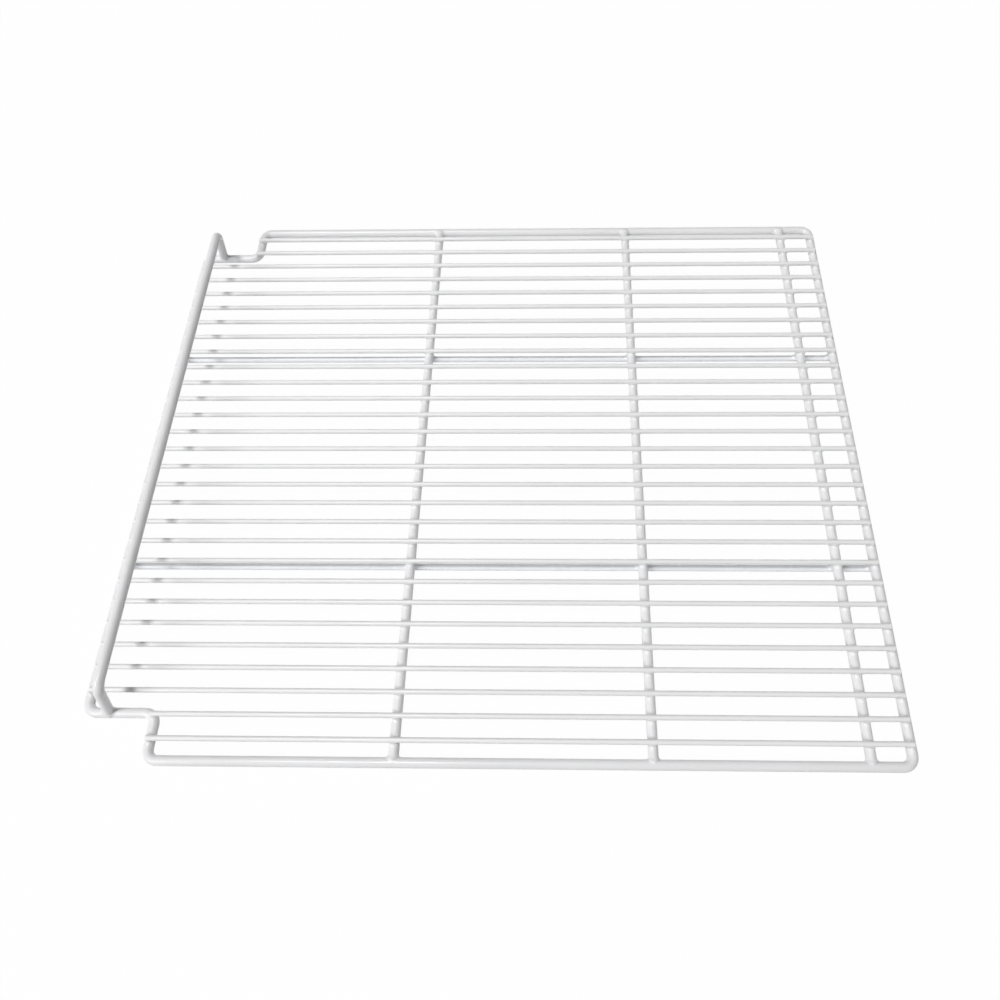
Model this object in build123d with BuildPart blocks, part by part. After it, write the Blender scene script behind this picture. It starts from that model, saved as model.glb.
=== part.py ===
"""Coated steel wire shelf for a refrigerator.

A heavy rim wire is bent into a closed loop with a notch at each rear corner.
Cross rods are butt welded between its side runs, two lighter support rods run
beneath them, and a close row of thin deck wires lies on top, front to back.
A raised rail along the rear keeps goods off the back wall.

Frame: +X is the front of the shelf, +Y its right side, +Z up.  The origin is
under the middle of the shelf, on the plane that the support rods rest on.
All wire diameters are over the coating.
"""

import math
import os

from build123d import *

# Wire diameters, in millimetres; the rim and the cross rods are of the same heavy wire
heavy_wire_d = 7.0
rail_wire_d = 7.0
support_rod_d = 5.0
deck_wire_d = 3.7

# Rim, measured between wire axes
shelf_depth = 550.0
shelf_width = 475.0
notch_depth = 47.5
notch_width = 31.0
rim_bend_r = 7.5

# Cross rods, each measured back from the axis of the front rim run
front_rod_set_back = 27.0
middle_rod_set_back = 168.0
rear_rod_set_back = 338.5

# Support rods, between their axes
support_rod_span = 192.0

# Deck wires
deck_pitch = 16.0
deck_edge_room = 12.0

# Rear rail
rail_set_in = 15.5
rail_height = 37.5
rail_leg_lean = 7.0
rail_forward_lean = 8.0
rail_bend_r = 9.0

# Welds and trimmed ends: a butt weld lets a rod into the round side of the rim,
# and a wire that crosses the rim is cut off a little past the rim's axis
butt_set_in = 1.0
front_end_past_axis = 1.3
rear_end_past_axis = 0.3
notch_end_past_axis = 1.6

# Heights of the wire axes above the plane that the shelf rests on
support_z = support_rod_d / 2
rim_z = support_rod_d + heavy_wire_d / 2
deck_z = support_rod_d + heavy_wire_d + deck_wire_d / 2

# Rim runs in plan
front_x = shelf_depth / 2
rear_x = -shelf_depth / 2
side_y = shelf_width / 2
notch_x = rear_x + notch_depth
notch_y = side_y - notch_width

# A deck wire further out than this would run into the rail's foot
rail_foot_inner_y = notch_y - (rail_wire_d + deck_wire_d) / 2


def bend_set_in(reach):
    """Distance that a rim bend has turned aside, a given reach into the bend."""
    into_bend = min(max(reach, 0.0), rim_bend_r)
    return rim_bend_r - math.sqrt(rim_bend_r**2 - into_bend**2)


def front_end_x(y):
    """X of the front end of a wire that crosses the rim's front run at y."""
    return front_x - bend_set_in(abs(y) - (side_y - rim_bend_r)) + front_end_past_axis


def rear_end_x(y):
    """X of a wire's rear end: on the rear run or, further out, on a notch's short leg."""
    across = abs(y)
    if across > rail_foot_inner_y:
        return notch_x + bend_set_in(across - (side_y - rim_bend_r)) - notch_end_past_axis
    return rear_x + bend_set_in(across - (notch_y - rim_bend_r)) - rear_end_past_axis


def facing_front(x, y, z):
    """Plane across a wire that runs from rear to front."""
    return Plane(origin=(x, y, z), x_dir=(0, 1, 0), z_dir=(1, 0, 0))


def facing_right(x, y, z):
    """Plane across a rod that runs from left to right."""
    return Plane(origin=(x, y, z), x_dir=(1, 0, 0), z_dir=(0, 1, 0))


def save(piece, name):
    """Label a finished piece and write its file."""
    piece.label = name
    export_step(piece, f"parts/{name}.step")


os.makedirs("parts", exist_ok=True)

# Deck wires: as many as fit at the pitch, set out from the middle of the shelf
deck_gaps = math.floor((shelf_width - 2 * deck_edge_room) / deck_pitch)
for index in range(deck_gaps + 1):
    wire_y = (index - deck_gaps / 2) * deck_pitch
    wire_start_x = rear_end_x(wire_y)
    wire_end_x = front_end_x(wire_y)
    with BuildPart() as deck_wire:
        with BuildSketch(facing_front(wire_start_x, wire_y, deck_z)):
            Circle(deck_wire_d / 2)
        extrude(amount=wire_end_x - wire_start_x)
    save(deck_wire.part, f"deck_wire_{index + 1:02d}")

# Support rods: the lowest wires, under the cross rods and the rim's end runs
for side, support_y in (("left", -support_rod_span / 2), ("right", support_rod_span / 2)):
    rod_start_x = rear_end_x(support_y)
    rod_end_x = front_end_x(support_y)
    with BuildPart() as support_rod:
        with BuildSketch(facing_front(rod_start_x, support_y, support_z)):
            Circle(support_rod_d / 2)
        extrude(amount=rod_end_x - rod_start_x)
    save(support_rod.part, f"support_rod_{side}")

# Rim: one heavy wire bent round the notches into a closed loop
with BuildPart() as rim:
    with BuildLine(Plane.XY.offset(rim_z)) as rim_path:
        FilletPolyline(
            (front_x, -side_y),
            (front_x, side_y),
            (notch_x, side_y),
            (notch_x, notch_y),
            (rear_x, notch_y),
            (rear_x, -notch_y),
            (notch_x, -notch_y),
            (notch_x, -side_y),
            radius=rim_bend_r,
            close=True,
        )
    with BuildSketch(Plane(origin=rim_path.line @ 0, z_dir=rim_path.line % 0)):
        Circle(heavy_wire_d / 2)
    sweep(path=rim_path.line)
save(rim.part, "rim")

# Cross rods: butt welded between the rim's side runs, under the deck wires
rod_end_y = side_y - heavy_wire_d / 2 + butt_set_in
cross_rod_places = {
    "front": front_rod_set_back,
    "middle": middle_rod_set_back,
    "rear": rear_rod_set_back,
}
for place, set_back in cross_rod_places.items():
    with BuildPart() as cross_rod:
        with BuildSketch(facing_right(front_x - set_back, -rod_end_y, rim_z)):
            Circle(heavy_wire_d / 2)
        extrude(amount=2 * rod_end_y)
        add(rim.part, mode=Mode.SUBTRACT)
    save(cross_rod.part, f"cross_rod_{place}")

# Rear rail: a raised wire that leans over the deck, with its feet on the notches' long runs
rail_plane = Plane(
    origin=(rear_x + rail_set_in, 0, rim_z),
    x_dir=(0, 1, 0),
    z_dir=(rail_height, 0, -rail_forward_lean),
)
rail_rise = math.hypot(rail_height, rail_forward_lean)
rail_corner_y = notch_y - rail_leg_lean
foot_share = (heavy_wire_d / 2 - butt_set_in) / math.hypot(rail_leg_lean, rail_rise)
foot_y = notch_y - rail_leg_lean * foot_share
foot_rise = rail_rise * foot_share
with BuildPart() as rear_rail:
    with BuildLine(rail_plane) as rail_path:
        FilletPolyline(
            (-foot_y, foot_rise),
            (-rail_corner_y, rail_rise),
            (rail_corner_y, rail_rise),
            (foot_y, foot_rise),
            radius=rail_bend_r,
        )
    with BuildSketch(Plane(origin=rail_path.line @ 0, z_dir=rail_path.line % 0)):
        Circle(rail_wire_d / 2)
    sweep(path=rail_path.line)
    add(rim.part, mode=Mode.SUBTRACT)
save(rear_rail.part, "rear_rail")
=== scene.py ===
"""Looks of a dip-coated wire refrigerator shelf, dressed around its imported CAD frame.

Every wire of the frame is rebuilt as a smooth coated tube.  Where two wires meet
the white coating has pooled, so each tube swells into a fillet that runs over
onto its neighbour, and every free wire end wears a round cap of coating.
"""

import logging
import math
from dataclasses import dataclass, field
from enum import Enum

import bpy
import numpy as np
from mathutils import Matrix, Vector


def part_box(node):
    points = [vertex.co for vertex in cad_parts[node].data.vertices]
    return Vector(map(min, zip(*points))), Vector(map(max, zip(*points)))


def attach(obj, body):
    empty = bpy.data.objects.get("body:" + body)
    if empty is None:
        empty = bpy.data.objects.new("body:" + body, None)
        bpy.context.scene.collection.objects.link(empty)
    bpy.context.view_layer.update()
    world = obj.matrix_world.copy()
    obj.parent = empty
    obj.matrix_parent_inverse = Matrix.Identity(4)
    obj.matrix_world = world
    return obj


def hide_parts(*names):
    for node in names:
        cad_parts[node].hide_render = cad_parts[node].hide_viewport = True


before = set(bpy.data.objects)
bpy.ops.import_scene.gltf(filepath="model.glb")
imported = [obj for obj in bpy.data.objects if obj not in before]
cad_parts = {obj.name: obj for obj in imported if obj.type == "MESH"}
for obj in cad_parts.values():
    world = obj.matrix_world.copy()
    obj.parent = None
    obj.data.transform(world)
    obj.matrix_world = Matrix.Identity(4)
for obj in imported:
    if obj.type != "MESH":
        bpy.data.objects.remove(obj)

MM = 0.001
BODY = "root"
UPWARD = (0.0, 0.0, 1.0)

ROUNDING = 1e-9

# A let-in wire's axis stops this share of its radius short of the other wire's axis
LET_IN_SHARE = 0.5

log = logging.getLogger("shelf")


class WireRole(Enum):
    """What a wire does in the shelf; each role has its own finish."""

    HEAVY = "heavy"
    SUPPORT = "support"
    DECK = "deck"


class WireEnd(Enum):
    """How a wire's ends are left."""

    CAPPED = "capped"
    LET_IN = "let_in"
    CLOSED_LOOP = "closed_loop"


@dataclass(frozen=True)
class Run:
    """One straight stretch of a wire's axis."""

    start: np.ndarray
    end: np.ndarray

    @property
    def length(self) -> float:
        """Length of the stretch in metres."""
        return float(np.linalg.norm(self.end - self.start))

    def at(self, distance: np.ndarray) -> tuple[np.ndarray, np.ndarray]:
        """Points and directions on the stretch.

        Args:
            distance: Distances from its start.

        Returns:
            The points and the unit directions there, one row each.
        """
        direction = (self.end - self.start) / self.length
        points = self.start + distance[:, None] * direction
        return points, np.broadcast_to(direction, points.shape)


@dataclass(frozen=True)
class Bend:
    """One round bend of a wire's axis."""

    centre: np.ndarray
    outward: np.ndarray
    heading: np.ndarray
    radius: float
    turn: float

    @property
    def length(self) -> float:
        """Length of the arc in metres."""
        return self.radius * self.turn

    def at(self, distance: np.ndarray) -> tuple[np.ndarray, np.ndarray]:
        """Points and directions on the bend.

        Args:
            distance: Distances from its start.

        Returns:
            The points and the unit directions there, one row each.
        """
        angle = (distance / self.radius)[:, None]
        spoke = np.cos(angle) * self.outward + np.sin(angle) * self.heading
        direction = np.cos(angle) * self.heading - np.sin(angle) * self.outward
        return self.centre + self.radius * spoke, direction


@dataclass
class WireAxis:
    """Centre line of one wire: straight runs joined by round bends, all in one plane."""

    corners: list[tuple[float, float, float]]
    plane_normal: tuple[float, float, float]
    bend_r: float = 0.0
    closed: bool = False
    stretches: list[Run | Bend] = field(default_factory=list, init=False)

    def __post_init__(self) -> None:
        """Lay out the runs and bends from the corners."""
        points = [np.array(corner, float) for corner in self.corners]
        count = len(points)
        bent = range(count) if self.closed else range(1, count - 1)
        bends = {i: self._bend(points[i - 1], points[i], points[(i + 1) % count]) for i in bent}
        last = count if self.closed else count - 1
        for i in range(last):
            after = (i + 1) % count
            start = bends[i][1] if i in bends else points[i]
            end = bends[after][0] if after in bends else points[after]
            self.stretches.append(Run(start, end))
            if after in bends:
                self.stretches.append(bends[after][2])

    def _bend(
        self, before: np.ndarray, corner: np.ndarray, after: np.ndarray
    ) -> tuple[np.ndarray, np.ndarray, Bend]:
        """Round one corner.

        Args:
            before: The corner before it.
            corner: The corner itself.
            after: The corner after it.

        Returns:
            Where the bend starts and ends, and the bend.
        """
        into = (corner - before) / np.linalg.norm(corner - before)
        out = (after - corner) / np.linalg.norm(after - corner)
        turn = math.acos(float(np.clip(into @ out, -1.0, 1.0)))
        set_back = self.bend_r * math.tan(turn / 2)
        start = corner - into * set_back
        inward = out - into * float(out @ into)
        inward = inward / np.linalg.norm(inward)
        bend = Bend(start + inward * self.bend_r, -inward, into, self.bend_r, turn)
        return start, corner + out * set_back, bend

    @property
    def length(self) -> float:
        """Length of the whole axis in metres."""
        return sum(stretch.length for stretch in self.stretches)

    def at(self, distance: np.ndarray) -> tuple[np.ndarray, np.ndarray, np.ndarray]:
        """Points, directions and bends along the axis.

        Args:
            distance: Distances from the start of the axis.

        Returns:
            The points, the unit directions, and whether each point is in a bend.
        """
        points = np.zeros((len(distance), 3))
        directions = np.zeros((len(distance), 3))
        in_bend = np.zeros(len(distance), bool)
        begun = 0.0
        for stretch in self.stretches:
            here = distance >= begun - ROUNDING
            points[here], directions[here] = stretch.at(distance[here] - begun)
            in_bend[here] = isinstance(stretch, Bend)
            begun += stretch.length
        return points, directions, in_bend

    def chords(self, bend_chord: float) -> tuple[np.ndarray, np.ndarray]:
        """The axis as short straight chords, for measuring distances to the wire.

        Args:
            bend_chord: Longest chord across a bend.

        Returns:
            The chords' starts and ends, one row each.
        """
        knots = []
        for stretch in self.stretches:
            parts = 1 if isinstance(stretch, Run) else math.ceil(stretch.length / bend_chord)
            knots.append(stretch.at(np.linspace(0.0, stretch.length, parts + 1))[0])
        starts = np.concatenate([part[:-1] for part in knots])
        ends = np.concatenate([part[1:] for part in knots])
        return starts, ends


@dataclass(frozen=True)
class CoatingPools:
    """How the coating gathers where wires meet, and how finely its surface is laid out."""

    share_of_radius: float = 1.6
    largest: float = 4.0 * MM
    at_butt_weld: float = 2.0 * MM
    overlap: float = 0.25 * MM
    fine_step: float = 0.6 * MM
    bend_step: float = 0.9 * MM
    plain_step: float = 12.0 * MM
    settle_rounds: int = 30

    def fillet(self, wire: "CoatedWire", other: "CoatedWire") -> float:
        """Radius of the fillet between two wires.

        Args:
            wire: One of the wires.
            other: The other one.

        Returns:
            The radius, smaller where one wire is butt welded to the other's side.
        """
        if wire.role is WireRole.HEAVY and other.role is WireRole.HEAVY:
            return self.at_butt_weld
        return min(self.share_of_radius * min(wire.radius, other.radius), self.largest)


@dataclass
class CoatedWire:
    """One wire of the shelf, rebuilt as a smooth tube of coating."""

    node: str
    axis: WireAxis
    radius: float
    role: WireRole
    ends: WireEnd
    sides: int
    cap_depth_share: float = 0.65
    cap_rings: int = 7

    @property
    def cap_depth(self) -> float:
        """How far the coating's cap stands out from the last full ring."""
        return self.radius * self.cap_depth_share

    @property
    def end_inset(self) -> float:
        """How far short of its axis's ends the wire stops drawing in its neighbours' coating.

        Returns:
            The distance, which keeps the pools round a let-in end outside the other wire.
        """
        if self.ends is WireEnd.LET_IN:
            return self.radius * LET_IN_SHARE
        return self.radius - self.cap_depth

    def stations(self, neighbours: "Neighbours", pools: CoatingPools) -> np.ndarray:
        """Distances along the axis at which the tube has a ring.

        Args:
            neighbours: The wires that this one may meet.
            pools: How the coating gathers.

        Returns:
            The distances, close together in bends and where wires meet.
        """
        count = math.ceil(self.axis.length / pools.fine_step)
        tries = np.linspace(0.0, self.axis.length, count + 1)
        points, _, in_bend = self.axis.at(tries)
        meets = neighbours.within_reach(points, self.radius)
        step = np.where(in_bend, pools.bend_step, pools.plain_step)
        step = np.where(meets, pools.fine_step, step)
        kept = [0]
        for i in range(1, count):
            nearing = step[i + 1] < step[i]
            if nearing or tries[i] - tries[kept[-1]] > step[i] - pools.fine_step / 2:
                kept.append(i)
        if self.ends is not WireEnd.CLOSED_LOOP:
            kept.append(count)
        return tries[kept]

    def rings(self, stations: np.ndarray) -> tuple[np.ndarray, np.ndarray]:
        """Lay out the rings of the plain tube.

        Args:
            stations: Distances along the axis.

        Returns:
            Points and outward normals, as rings by sides by three.
        """
        points, directions, _ = self.axis.at(stations)
        up = np.array(self.axis.plane_normal, float)
        side = np.cross(directions, up)
        angle = np.linspace(0.0, math.tau, self.sides, endpoint=False)[None, :, None]
        outward = np.cos(angle) * side[:, None, :] + np.sin(angle) * up
        rings = points[:, None, :] + self.radius * outward
        if self.ends is WireEnd.CLOSED_LOOP:
            return rings, outward
        first = self._cap(points[0], -directions[0], outward[0])
        last = self._cap(points[-1], directions[-1], outward[-1])
        rings = np.concatenate([first[0][::-1], rings, last[0]])
        outward = np.concatenate([first[1][::-1], outward, last[1]])
        return rings, outward

    def _cap(
        self, centre: np.ndarray, direction: np.ndarray, outward: np.ndarray
    ) -> tuple[np.ndarray, np.ndarray]:
        """Lay out the rings of one rounded end, from the tube outwards.

        Args:
            centre: Centre of the last full ring.
            direction: Direction out of the wire's end.
            outward: The last full ring's outward normals.

        Returns:
            Points and outward normals of the cap's rings.
        """
        tilt = np.linspace(0.0, math.pi / 2, self.cap_rings + 2)[1:-1, None, None]
        across = self.radius * np.cos(tilt) * outward
        along = self.cap_depth * np.sin(tilt) * direction
        normal = self.cap_depth * np.cos(tilt) * outward + self.radius * np.sin(tilt) * direction
        normal = normal / np.linalg.norm(normal, axis=2, keepdims=True)
        return centre + across + along, normal

    def faces(self, ring_count: int) -> list[list[int]]:
        """Join the rings into a closed skin.

        Args:
            ring_count: How many rings there are.

        Returns:
            The faces, as lists of vertex numbers; the wire's ends are closed by flat faces.
        """
        closed = self.ends is WireEnd.CLOSED_LOOP
        grid = np.arange(ring_count * self.sides).reshape(ring_count, self.sides)
        here = grid if closed else grid[:-1]
        after = np.roll(grid, -1, axis=0) if closed else grid[1:]
        corners = [here, after, np.roll(after, -1, axis=1), np.roll(here, -1, axis=1)]
        faces = np.stack(corners, axis=2).reshape(-1, 4).tolist()
        if not closed:
            faces.append(grid[0].tolist())
            faces.append(grid[-1][::-1].tolist())
        return faces

    def build(
        self, neighbours: "Neighbours", pools: CoatingPools, material: bpy.types.Material
    ) -> bpy.types.Object:
        """Make the wire's mesh and put it in place of its CAD node.

        Args:
            neighbours: The wires that this one may meet.
            pools: How the coating gathers.
            material: The wire's finish.

        Returns:
            The new object, riding on the shelf's body.
        """
        rings, outward = self.rings(self.stations(neighbours, pools))
        points = rings.reshape(-1, 3)
        normals = outward.reshape(-1, 3)
        points = points + normals * neighbours.swelling(points, normals)[:, None]
        mesh = bpy.data.meshes.new(f"{self.node}_coated")
        mesh.from_pydata(points.tolist(), [], self.faces(len(rings)))
        mesh.polygons.foreach_set("use_smooth", [True] * len(mesh.polygons))
        mesh.materials.append(material)
        wire = bpy.data.objects.new(f"{self.node}_coated", mesh)
        bpy.context.scene.collection.objects.link(wire)
        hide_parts(self.node)
        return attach(wire, BODY)


@dataclass
class Neighbours:
    """The wires around one wire, as chords that the coating can gather against."""

    starts: np.ndarray
    ends: np.ndarray
    radii: np.ndarray
    fillets: np.ndarray
    pools: CoatingPools

    @classmethod
    def around(cls, wire: CoatedWire, wires: list[CoatedWire], pools: CoatingPools) -> "Neighbours":
        """Gather the chords of every other wire.

        Args:
            wire: The wire in the middle.
            wires: All the wires of the shelf.
            pools: How the coating gathers.

        Returns:
            The other wires' chords, drawn in at their ends by the roundness of a cap
            or, where they are let into another wire, up to that wire's skin.
        """
        starts, ends, radii, fillets = [], [], [], []
        for other in wires:
            if other is wire:
                continue
            first, last = other.axis.chords(pools.fine_step)
            if other.ends is not WireEnd.CLOSED_LOOP:
                into = (last[0] - first[0]) / np.linalg.norm(last[0] - first[0])
                back = (first[-1] - last[-1]) / np.linalg.norm(first[-1] - last[-1])
                first[0] = first[0] + into * other.end_inset
                last[-1] = last[-1] + back * other.end_inset
            starts.append(first)
            ends.append(last)
            radii.append(np.full(len(first), other.radius))
            fillets.append(np.full(len(first), pools.fillet(wire, other)))
        return cls(
            np.concatenate(starts),
            np.concatenate(ends),
            np.concatenate(radii),
            np.concatenate(fillets),
            pools,
        )

    def clearance(self, points: np.ndarray, chord: int) -> np.ndarray:
        """Distances from points to the surface of the wire along one chord.

        Args:
            points: The points, one row each.
            chord: Number of the chord.

        Returns:
            The distances, below zero inside the wire.
        """
        start = self.starts[chord]
        span = self.ends[chord] - start
        share = np.clip((points - start) @ span / (span @ span), 0.0, 1.0)
        return np.linalg.norm(points - start - share[:, None] * span, axis=1) - self.radii[chord]

    def within_reach(self, points: np.ndarray, radius: float) -> np.ndarray:
        """Where the coating of a wire through these points touches a neighbour's.

        Args:
            points: Points along the wire's axis.
            radius: The wire's radius.

        Returns:
            Whether each point is near enough to a neighbour.
        """
        near = np.zeros(len(points), bool)
        for chord in range(len(self.starts)):
            near |= self.clearance(points, chord) < radius + self.fillets[chord]
        return near

    def swelling(self, points: np.ndarray, normals: np.ndarray) -> np.ndarray:
        """How far the pooled coating lifts each point of a tube.

        Each point moves out along its normal until it lies on the round fillet
        between the tube and its neighbour, or has just passed the fillet's middle,
        where the neighbour's own skin takes over.

        Args:
            points: Points on the plain tube.
            normals: Their outward normals.

        Returns:
            The lift of each point.
        """
        lift = np.zeros(len(points))
        touched = []
        for chord in range(len(self.starts)):
            near = np.flatnonzero(self.clearance(points, chord) < self.fillets[chord])
            if len(near):
                touched.append((chord, near))
        for _ in range(self.pools.settle_rounds):
            depth = np.zeros(len(points))
            past_middle = np.zeros(len(points), bool)
            moved = points + normals * lift[:, None]
            for chord, near in touched:
                gap = self.clearance(moved[near], chord)
                own = lift[near]
                fillet = self.fillets[chord]
                reach = np.hypot(np.maximum(fillet - own, 0.0), np.maximum(fillet - gap, 0.0))
                short = np.maximum(reach - np.maximum(fillet, np.minimum(own, gap)), 0.0)
                depth[near] = np.maximum(depth[near], short)
                past_middle[near] |= own > gap + self.pools.overlap
            lift = lift + np.where(past_middle, 0.0, depth)
        return lift


@dataclass(frozen=True)
class CoatingEffects:
    """Shader node groups that every coated wire shares."""

    ripple_detail: float = 2.0
    dimple_detail: float = 1.0
    dimple_share: float = 0.3
    nib_share: float = 0.25
    nib_foot: float = 0.16
    nib_top: float = 0.02
    patch_detail: float = 4.0
    tone_low: float = 0.3
    tone_high: float = 0.7
    rub_detail: float = 6.0
    rub_roughness: float = 0.65
    rubbed_low: float = 0.48
    rubbed_high: float = 0.72

    @staticmethod
    def _new_group(name: str, inputs: dict[str, float], outputs: list[str]) -> bpy.types.NodeTree:
        """Start a node group of plain numbers.

        Args:
            name: The group's name.
            inputs: Its number inputs and their defaults.
            outputs: Its number outputs.

        Returns:
            The group, with its input and output nodes in place.
        """
        group = bpy.data.node_groups.new(name, "ShaderNodeTree")
        for label, default in inputs.items():
            socket = group.interface.new_socket(
                label, in_out="INPUT", socket_type="NodeSocketFloat"
            )
            socket.default_value = default
        for label in outputs:
            group.interface.new_socket(label, in_out="OUTPUT", socket_type="NodeSocketFloat")
        group.nodes.new("NodeGroupInput").name = "in"
        group.nodes.new("NodeGroupOutput").name = "out"
        return group

    def orange_peel(self) -> bpy.types.NodeTree:
        """The slow ripple, fine dimples and few nibs of a coating that has flowed and set.

        Returns:
            A group from the scales of ripple, dimples and nibs to a height.
        """
        scales = {"Ripple": 90.0, "Dimple": 900.0, "Nib": 160.0}
        group = self._new_group("orange_peel", scales, ["Height"])
        nodes, links = group.nodes, group.links
        place = nodes.new("ShaderNodeTexCoord")
        ripple = nodes.new("ShaderNodeTexNoise")
        ripple.inputs["Detail"].default_value = self.ripple_detail
        dimple = nodes.new("ShaderNodeTexNoise")
        dimple.inputs["Detail"].default_value = self.dimple_detail
        nib = nodes.new("ShaderNodeTexVoronoi")
        nib_edge = nodes.new("ShaderNodeMapRange")
        nib_edge.interpolation_type = "SMOOTHSTEP"
        nib_edge.inputs["From Min"].default_value = self.nib_foot
        nib_edge.inputs["From Max"].default_value = self.nib_top
        dimple_share = nodes.new("ShaderNodeMath")
        dimple_share.operation = "MULTIPLY_ADD"
        dimple_share.inputs[1].default_value = self.dimple_share
        nib_share = nodes.new("ShaderNodeMath")
        nib_share.operation = "MULTIPLY_ADD"
        nib_share.inputs[1].default_value = self.nib_share
        for texture, scale in ((ripple, "Ripple"), (dimple, "Dimple"), (nib, "Nib")):
            links.new(place.outputs["Object"], texture.inputs["Vector"])
            links.new(nodes["in"].outputs[scale], texture.inputs["Scale"])
        links.new(nib.outputs["Distance"], nib_edge.inputs["Value"])
        links.new(dimple.outputs["Fac"], dimple_share.inputs[0])
        links.new(ripple.outputs["Fac"], dimple_share.inputs[2])
        links.new(nib_edge.outputs["Result"], nib_share.inputs[0])
        links.new(dimple_share.outputs["Value"], nib_share.inputs[2])
        links.new(nib_share.outputs["Value"], nodes["out"].inputs["Height"])
        return group

    def tone_drift(self) -> bpy.types.NodeTree:
        """The slow drift of tone and gloss along a coated wire, with faint rubbed patches.

        Returns:
            A group from the scales of patches and rubs to a tone mask and a rubbed mask.
        """
        scales = {"Patch": 14.0, "Rub": 60.0}
        group = self._new_group("tone_drift", scales, ["Tone", "Rubbed"])
        nodes, links = group.nodes, group.links
        place = nodes.new("ShaderNodeTexCoord")
        patch = nodes.new("ShaderNodeTexNoise")
        patch.inputs["Detail"].default_value = self.patch_detail
        rub = nodes.new("ShaderNodeTexNoise")
        rub.inputs["Detail"].default_value = self.rub_detail
        rub.inputs["Roughness"].default_value = self.rub_roughness
        tone = nodes.new("ShaderNodeMapRange")
        tone.inputs["From Min"].default_value = self.tone_low
        tone.inputs["From Max"].default_value = self.tone_high
        rubbed = nodes.new("ShaderNodeMapRange")
        rubbed.interpolation_type = "SMOOTHSTEP"
        rubbed.inputs["From Min"].default_value = self.rubbed_low
        rubbed.inputs["From Max"].default_value = self.rubbed_high
        for texture, scale in ((patch, "Patch"), (rub, "Rub")):
            links.new(place.outputs["Object"], texture.inputs["Vector"])
            links.new(nodes["in"].outputs[scale], texture.inputs["Scale"])
        links.new(patch.outputs["Fac"], tone.inputs["Value"])
        links.new(rub.outputs["Fac"], rubbed.inputs["Value"])
        links.new(tone.outputs["Result"], nodes["out"].inputs["Tone"])
        links.new(rubbed.outputs["Result"], nodes["out"].inputs["Rubbed"])
        return group


@dataclass(frozen=True)
class CoatingFinish:
    """White coating as it sits on one size of wire; the support rods' copy is painted lighter and
    bluer, which is painted light and painted reflection.
    """

    name: str
    tone_light: tuple[float, float, float]
    tone_dark: tuple[float, float, float]
    gloss_roughness: float
    rubbed_roughness: float
    ripple_scale: float
    dimple_scale: float
    ripple_height: float
    patch_scale: float
    ior: float = 1.48

    def material(self, peel: bpy.types.NodeTree, drift: bpy.types.NodeTree) -> bpy.types.Material:
        """Make the finish's material.

        Args:
            peel: The shared orange peel group.
            drift: The shared tone drift group.

        Returns:
            The material.
        """
        material = bpy.data.materials.new(self.name)
        material.use_nodes = True
        nodes, links = material.node_tree.nodes, material.node_tree.links
        shader = nodes["Principled BSDF"]
        shader.inputs["IOR"].default_value = self.ior
        drift_node = nodes.new("ShaderNodeGroup")
        drift_node.node_tree = drift
        drift_node.inputs["Patch"].default_value = self.patch_scale
        colour = nodes.new("ShaderNodeMix")
        colour.data_type = "RGBA"
        colour.inputs["A"].default_value = (*self.tone_light, 1.0)
        colour.inputs["B"].default_value = (*self.tone_dark, 1.0)
        gloss = nodes.new("ShaderNodeMapRange")
        gloss.inputs["To Min"].default_value = self.gloss_roughness
        gloss.inputs["To Max"].default_value = self.rubbed_roughness
        peel_node = nodes.new("ShaderNodeGroup")
        peel_node.node_tree = peel
        peel_node.inputs["Ripple"].default_value = self.ripple_scale
        peel_node.inputs["Dimple"].default_value = self.dimple_scale
        bump = nodes.new("ShaderNodeBump")
        bump.inputs["Strength"].default_value = 1.0
        bump.inputs["Distance"].default_value = self.ripple_height
        links.new(drift_node.outputs["Tone"], colour.inputs["Factor"])
        links.new(colour.outputs["Result"], shader.inputs["Base Color"])
        links.new(drift_node.outputs["Rubbed"], gloss.inputs["Value"])
        links.new(gloss.outputs["Result"], shader.inputs["Roughness"])
        links.new(peel_node.outputs["Height"], bump.inputs["Height"])
        links.new(bump.outputs["Normal"], shader.inputs["Normal"])
        return material


FINISHES = {
    WireRole.HEAVY: CoatingFinish(
        name="coating_on_heavy_wire",
        tone_light=(0.86, 0.86, 0.87),
        tone_dark=(0.82, 0.82, 0.83),
        gloss_roughness=0.28,
        rubbed_roughness=0.42,
        ripple_scale=90.0,
        dimple_scale=900.0,
        ripple_height=0.12 * MM,
        patch_scale=14.0,
    ),
    # Painted light: the support rods wear the same white coating as the other wires, but their
    # tones are set lighter and bluer to stand in for the near-side light and the pale room's
    # reflection that they catch.
    WireRole.SUPPORT: CoatingFinish(
        name="support_coating_painted_lighter",
        tone_light=(0.91, 0.925, 0.95),
        tone_dark=(0.87, 0.885, 0.91),
        gloss_roughness=0.26,
        rubbed_roughness=0.4,
        ripple_scale=110.0,
        dimple_scale=900.0,
        ripple_height=0.1 * MM,
        patch_scale=18.0,
    ),
    WireRole.DECK: CoatingFinish(
        name="coating_on_deck_wires",
        tone_light=(0.91, 0.91, 0.91),
        tone_dark=(0.87, 0.87, 0.87),
        gloss_roughness=0.3,
        rubbed_roughness=0.46,
        ripple_scale=150.0,
        dimple_scale=1100.0,
        ripple_height=0.08 * MM,
        patch_scale=22.0,
    ),
}


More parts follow.
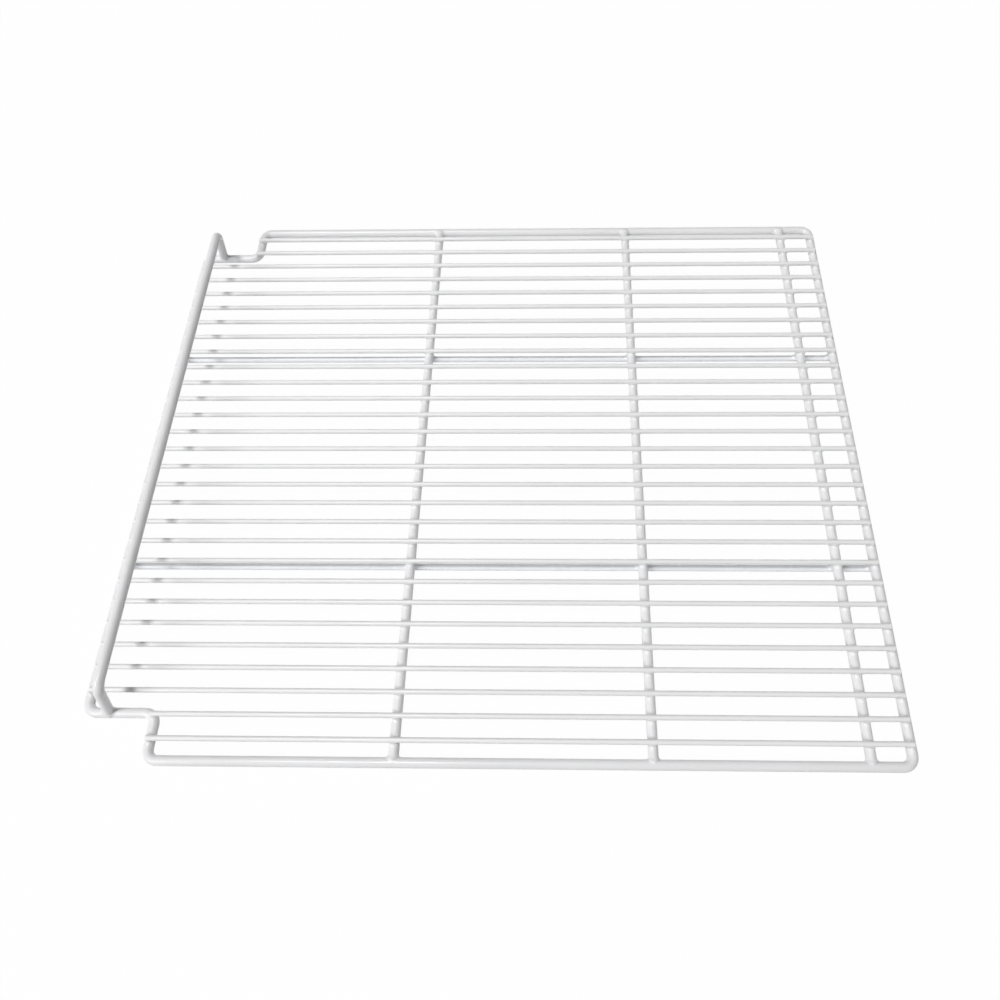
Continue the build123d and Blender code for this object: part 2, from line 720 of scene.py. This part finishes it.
@dataclass
class WireShelf:
    """The whole shelf: its wires, laid out from the frame's boxes."""

    notch_depth: float = 47.5 * MM
    notch_width: float = 31.0 * MM
    rim_bend_r: float = 7.5 * MM
    rail_leg_lean: float = 7.0 * MM
    rail_forward_lean: float = 8.0 * MM
    rail_bend_r: float = 9.0 * MM
    heavy_sides: int = 48
    support_sides: int = 40
    deck_sides: int = 28
    pools: CoatingPools = field(default_factory=CoatingPools)

    @staticmethod
    def _middle(node: str) -> tuple[np.ndarray, np.ndarray]:
        """Centre and half extents of a CAD node's box."""
        low, high = (np.array(corner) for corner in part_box(node))
        return (low + high) / 2, (high - low) / 2

    def rim(self) -> CoatedWire:
        """The closed rim wire, with a notch at each rear corner.

        Returns:
            The wire.
        """
        centre, half = self._middle("rim")
        radius = float(half[2])
        front, rear = centre[0] + half[0] - radius, centre[0] - half[0] + radius
        side = half[1] - radius
        notch_x, notch_y = rear + self.notch_depth, side - self.notch_width
        z = centre[2]
        corners = [
            (front, -side, z),
            (front, side, z),
            (notch_x, side, z),
            (notch_x, notch_y, z),
            (rear, notch_y, z),
            (rear, -notch_y, z),
            (notch_x, -notch_y, z),
            (notch_x, -side, z),
        ]
        axis = WireAxis(corners, UPWARD, self.rim_bend_r, closed=True)
        return CoatedWire(
            "rim", axis, radius, WireRole.HEAVY, WireEnd.CLOSED_LOOP, self.heavy_sides
        )

    def cross_rods(self) -> list[CoatedWire]:
        """The rods from side to side, let into the rim's side runs.

        Returns:
            The wires.
        """
        _, rim_half = self._middle("rim")
        end_y = rim_half[1] - rim_half[2] * (1 + LET_IN_SHARE)
        rods = []
        for place in ("front", "middle", "rear"):
            centre, half = self._middle(f"cross_rod_{place}")
            ends = [(centre[0], -end_y, centre[2]), (centre[0], end_y, centre[2])]
            axis = WireAxis(ends, UPWARD)
            rods.append(
                CoatedWire(
                    f"cross_rod_{place}",
                    axis,
                    float(half[2]),
                    WireRole.HEAVY,
                    WireEnd.LET_IN,
                    self.heavy_sides,
                )
            )
        return rods

    def _rear_to_front(self, node: str, role: WireRole, sides: int) -> CoatedWire:
        """One straight wire from rear to front, with a coated cap at each end.

        Args:
            node: Its CAD node.
            role: What it does in the shelf.
            sides: How many sides its tube has.

        Returns:
            The wire.
        """
        centre, half = self._middle(node)
        radius = float(half[2])
        reach = half[0] - radius * CoatedWire.cap_depth_share
        ends = [(centre[0] + along, centre[1], centre[2]) for along in (-reach, reach)]
        return CoatedWire(node, WireAxis(ends, UPWARD), radius, role, WireEnd.CAPPED, sides)

    def support_rods(self) -> list[CoatedWire]:
        """The two lighter rods underneath."""
        nodes = ("support_rod_left", "support_rod_right")
        return [self._rear_to_front(node, WireRole.SUPPORT, self.support_sides) for node in nodes]

    def deck_wires(self) -> list[CoatedWire]:
        """The close row of thin wires on top."""
        nodes = sorted(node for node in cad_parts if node.startswith("deck_wire"))
        return [self._rear_to_front(node, WireRole.DECK, self.deck_sides) for node in nodes]

    def rear_rail(self) -> CoatedWire:
        """The raised rail, which leans over the deck from its feet on the notches' long runs.

        Returns:
            The wire, of the same gauge as the rim.
        """
        rim_centre, rim_half = self._middle("rim")
        centre, half = self._middle("rear_rail")
        radius = float(rim_half[2])
        foot_y = rim_half[1] - radius - self.notch_width
        corner_y = foot_y - self.rail_leg_lean
        top_x, top_z = centre[0] + half[0] - radius, centre[2] + half[2] - radius
        height = top_z - rim_centre[2]
        leg = math.hypot(height, self.rail_forward_lean, self.rail_leg_lean)
        let_in = radius * LET_IN_SHARE / leg
        foot_x = top_x - self.rail_forward_lean * (1 - let_in)
        foot_y = foot_y - self.rail_leg_lean * let_in
        foot_z = top_z - height * (1 - let_in)
        corners = [
            (foot_x, -foot_y, foot_z),
            (top_x, -corner_y, top_z),
            (top_x, corner_y, top_z),
            (foot_x, foot_y, foot_z),
        ]
        slant = math.atan2(self.rail_forward_lean, height)
        axis = WireAxis(corners, (math.cos(slant), 0.0, -math.sin(slant)), self.rail_bend_r)
        return CoatedWire(
            "rear_rail", axis, radius, WireRole.HEAVY, WireEnd.LET_IN, self.heavy_sides
        )

    def build(self) -> list[bpy.types.Object]:
        """Build and dress every wire.

        Returns:
            The new objects.
        """
        effects = CoatingEffects()
        peel, drift = effects.orange_peel(), effects.tone_drift()
        materials = {role: finish.material(peel, drift) for role, finish in FINISHES.items()}
        wires = [
            self.rim(),
            *self.cross_rods(),
            *self.support_rods(),
            self.rear_rail(),
            *self.deck_wires(),
        ]
        built = []
        for wire in wires:
            neighbours = Neighbours.around(wire, wires, self.pools)
            built.append(wire.build(neighbours, self.pools, materials[wire.role]))
            log.info("%s: %d faces", wire.node, len(built[-1].data.polygons))
        return built


def placed(x: np.ndarray, y: np.ndarray, z: np.ndarray, at: np.ndarray) -> Matrix:
    """A placing matrix from three axes and a place."""
    return Matrix([[x[i], y[i], z[i], at[i]] for i in range(3)] + [[0.0, 0.0, 0.0, 1.0]])


@dataclass(frozen=True)
class SoftLamp:
    """A round soft lamp that shines on the middle of the shelf."""

    name: str
    toward: tuple[float, float, float]
    distance: float
    size: float
    power: float

    def build(self) -> bpy.types.Object:
        """Set up the lamp.

        Returns:
            The lamp.
        """
        data = bpy.data.lights.new(self.name, "AREA")
        data.shape = "DISK"
        data.size = self.size
        data.energy = self.power
        lamp = bpy.data.objects.new(self.name, data)
        back = np.array(self.toward) / np.linalg.norm(self.toward)
        across = np.cross((0.0, 1.0, 0.0), back)
        across = across / np.linalg.norm(across)
        lamp.matrix_world = placed(across, np.cross(back, across), back, back * self.distance)
        bpy.context.scene.collection.objects.link(lamp)
        return lamp


@dataclass
class Studio:
    """Floor, light and camera."""

    floor_half: float = 4.0
    floor_tone: float = 0.8
    floor_white_share: float = 0.98
    zenith_level: float = 0.27
    lamps: tuple[SoftLamp, ...] = (
        SoftLamp("window", (-0.6, -0.5, 0.6), 5.0, 2.3, 98.0),
        SoftLamp("ceiling", (-0.23, -0.1, 0.96), 5.0, 0.8, 110.0),
    )
    camera_at: tuple[float, float, float] = (40.87 * MM, -331.71 * MM, 556.95 * MM)
    camera_heading_deg: float = -2.948
    camera_dip_deg: float = 62.181
    camera_roll_deg: float = 2.538
    image_width_px: float = 1000.0
    focal_px: float = 810.6
    axis_px: float = 533.0
    sensor_mm: float = 36.0
    clip_start: float = 0.01

    @staticmethod
    def _seen(tree: bpy.types.NodeTree) -> bpy.types.NodeSocket:
        """Tell rays that show a surface, straight or mirrored, from rays that light the shelf.

        Args:
            tree: The node tree to work in.

        Returns:
            A number that is one for camera, glossy and transmission rays.
        """
        path = tree.nodes.new("ShaderNodeLightPath")
        seen = path.outputs["Is Camera Ray"]
        for kind in ("Is Glossy Ray", "Is Transmission Ray"):
            either = tree.nodes.new("ShaderNodeMath")
            either.operation = "MAXIMUM"
            tree.links.new(seen, either.inputs[0])
            tree.links.new(path.outputs[kind], either.inputs[1])
            seen = either.outputs["Value"]
        return seen

    def floor(self) -> bpy.types.Object:
        """A plain pale floor that shows nearly white and keeps the shelf's shadow.

        Returns:
            The floor.
        """
        reach = self.floor_half
        corners = [(-reach, -reach), (reach, -reach), (reach, reach), (-reach, reach)]
        corners = [(x, y, 0.0) for x, y in corners]
        mesh = bpy.data.meshes.new("floor")
        mesh.from_pydata(corners, [], [(0, 1, 2, 3)])
        material = bpy.data.materials.new("pale_floor")
        material.use_nodes = True
        nodes, links = material.node_tree.nodes, material.node_tree.links
        shader = nodes["Principled BSDF"]
        shader.inputs["Base Color"].default_value = (*[self.floor_tone] * 3, 1.0)
        shader.inputs["Roughness"].default_value = 1.0
        shader.inputs["Specular IOR Level"].default_value = 0.0
        white = nodes.new("ShaderNodeEmission")
        share = nodes.new("ShaderNodeMath")
        share.operation = "MULTIPLY"
        share.inputs[1].default_value = self.floor_white_share
        mix = nodes.new("ShaderNodeMixShader")
        links.new(self._seen(material.node_tree), share.inputs[0])
        links.new(share.outputs["Value"], mix.inputs["Fac"])
        links.new(shader.outputs["BSDF"], mix.inputs[1])
        links.new(white.outputs["Emission"], mix.inputs[2])
        links.new(mix.outputs["Shader"], nodes["Material Output"].inputs["Surface"])
        mesh.materials.append(material)
        floor = bpy.data.objects.new("floor", mesh)
        bpy.context.scene.collection.objects.link(floor)
        return floor

    def world(self) -> bpy.types.World:
        """A pale room around the shelf, brightest overhead and white where it shows.

        Returns:
            The world.
        """
        world = bpy.data.worlds.new("pale_room")
        world.use_nodes = True
        nodes, links = world.node_tree.nodes, world.node_tree.links
        fill = nodes["Background"]
        fill.inputs["Color"].default_value = (1.0, 1.0, 1.0, 1.0)
        place = nodes.new("ShaderNodeTexCoord")
        axes = nodes.new("ShaderNodeSeparateXYZ")
        level = nodes.new("ShaderNodeMapRange")
        level.inputs["To Max"].default_value = self.zenith_level
        links.new(place.outputs["Generated"], axes.inputs["Vector"])
        links.new(axes.outputs["Z"], level.inputs["Value"])
        links.new(level.outputs["Result"], fill.inputs["Strength"])
        white = nodes.new("ShaderNodeBackground")
        white.inputs["Color"].default_value = (1.0, 1.0, 1.0, 1.0)
        mix = nodes.new("ShaderNodeMixShader")
        links.new(self._seen(world.node_tree), mix.inputs["Fac"])
        links.new(fill.outputs["Background"], mix.inputs[1])
        links.new(white.outputs["Background"], mix.inputs[2])
        links.new(mix.outputs["Shader"], nodes["World Output"].inputs["Surface"])
        bpy.context.scene.world = world
        return world

    def camera(self) -> bpy.types.Object:
        """The camera, at the photograph's viewing angle.

        Returns:
            The camera.
        """
        heading = math.radians(self.camera_heading_deg)
        dip = math.radians(self.camera_dip_deg)
        roll = math.radians(self.camera_roll_deg)
        level = np.array([math.sin(heading), math.cos(heading), 0.0])
        ahead = level * math.cos(dip) - np.array([0.0, 0.0, math.sin(dip)])
        right = np.array([math.cos(heading), -math.sin(heading), 0.0])
        down = np.cross(ahead, right)
        rolled_right = math.cos(roll) * right + math.sin(roll) * down
        rolled_down = math.cos(roll) * down - math.sin(roll) * right
        data = bpy.data.cameras.new("camera")
        data.sensor_width = self.sensor_mm
        data.lens = self.sensor_mm * self.focal_px / self.image_width_px
        data.shift_x = 0.5 - self.axis_px / self.image_width_px
        data.clip_start = self.clip_start
        camera = bpy.data.objects.new("camera", data)
        camera.matrix_world = placed(rolled_right, -rolled_down, -ahead, np.array(self.camera_at))
        bpy.context.scene.collection.objects.link(camera)
        bpy.context.scene.camera = camera
        return camera

    def build(self) -> None:
        """Set up the floor, the light and the camera."""
        bpy.context.scene.view_settings.view_transform = "Standard"
        self.floor()
        self.world()
        for lamp in self.lamps:
            lamp.build()
        self.camera()
        log.info("studio is set")


def main() -> None:
    """Build the shelf and the studio around it."""
    logging.basicConfig(level=logging.INFO, format="%(message)s")
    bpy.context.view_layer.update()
    WireShelf().build()
    Studio().build()


if __name__ == "__main__":
    main()
